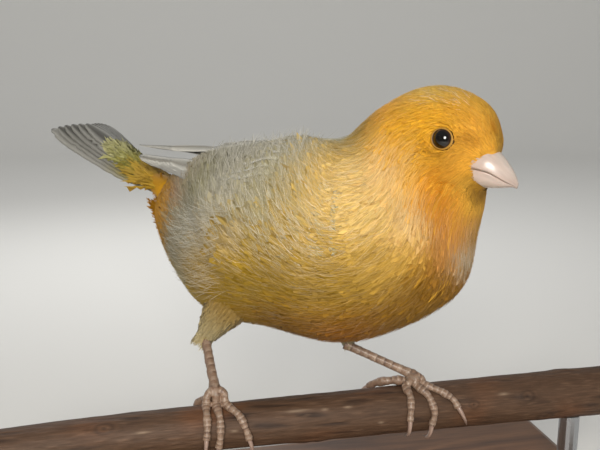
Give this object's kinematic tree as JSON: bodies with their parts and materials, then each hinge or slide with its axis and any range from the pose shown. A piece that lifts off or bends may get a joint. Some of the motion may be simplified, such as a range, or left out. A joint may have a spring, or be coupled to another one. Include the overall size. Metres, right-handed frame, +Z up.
{
  "type": "perching canary on a display stand",
  "caption": "Life-size still model of a yellow and white canary gripping a cut length of branch, held by a flat stand with short rods.",
  "frame": {"origin": "centre of the stand base's underside", "axes": "+Z up; the perch runs along X; the bird's right side is toward -Y, its head toward +X"},
  "size_m": [0.1525, 0.1223, 0.1124],
  "materials": {
    "plumage_yellow": "soft golden yellow body feathers with paler tips",
    "plumage_pale": "loose whitish yellow thigh feathers",
    "flight_feather": "white to grey-white flight and tail feathers with yellow edges",
    "bill_horn": "smooth pinkish white horn",
    "eye": "wet glossy black-brown",
    "leg_skin": "scaled pinkish flesh-brown skin",
    "claw": "pale horn",
    "perch_bark": "smooth brown bark with cut ends",
    "stand_wood": "plain satin wood",
    "stand_steel": "plain rod"
  },
  "bodies": {
    "root": {"head": "plumage_yellow", "neck": "plumage_yellow", "torso": "plumage_yellow", "tail": "flight_feather", "wing_left": "flight_feather", "wing_right": "flight_feather", "eye_left": "eye", "eye_right": "eye", "bill_upper": "bill_horn", "bill_lower": "bill_horn", "thigh_left": "plumage_pale", "thigh_right": "plumage_pale", "tarsus_left": "leg_skin", "tarsus_right": "leg_skin", "toe_left_hind": "leg_skin", "toe_left_inner": "leg_skin", "toe_left_middle": "leg_skin", "toe_left_outer": "leg_skin", "toe_right_hind": "leg_skin", "toe_right_inner": "leg_skin", "toe_right_middle": "leg_skin", "toe_right_outer": "leg_skin", "claw_left_hind": "claw", "claw_left_inner": "claw", "claw_left_middle": "claw", "claw_left_outer": "claw", "claw_right_hind": "claw", "claw_right_inner": "claw", "claw_right_middle": "claw", "claw_right_outer": "claw", "perch": "perch_bark", "stand_base": "stand_wood", "stand_rod_left": "stand_steel", "stand_rod_right": "stand_steel"}
  },
  "joints": []
}
